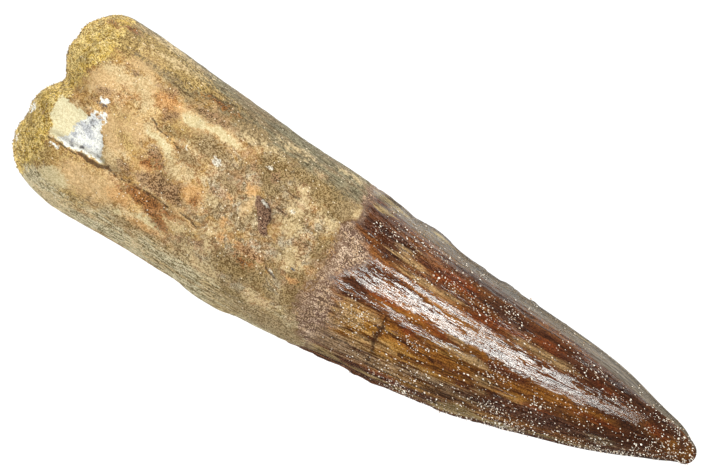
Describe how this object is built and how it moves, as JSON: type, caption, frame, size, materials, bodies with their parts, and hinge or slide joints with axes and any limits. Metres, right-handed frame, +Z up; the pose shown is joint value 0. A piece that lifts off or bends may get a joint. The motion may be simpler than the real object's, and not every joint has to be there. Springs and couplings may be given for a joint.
{
  "type": "spinosaurus tooth",
  "caption": "Fossil spinosaurus tooth with its sandy root and a dark, finely ridged crown, lying on its side for display.",
  "frame": {"origin": "middle of the bounding box in X and Y, on the surface that the tooth lies on", "axes": "+X runs from the broken root end to the tip of the crown, +Y points to the straighter, distal edge, and +Z is up"},
  "size_m": [0.105, 0.029, 0.0244],
  "materials": {
    "fossil": "satin"
  },
  "bodies": {
    "root": {"tooth": "fossil"}
  },
  "joints": []
}
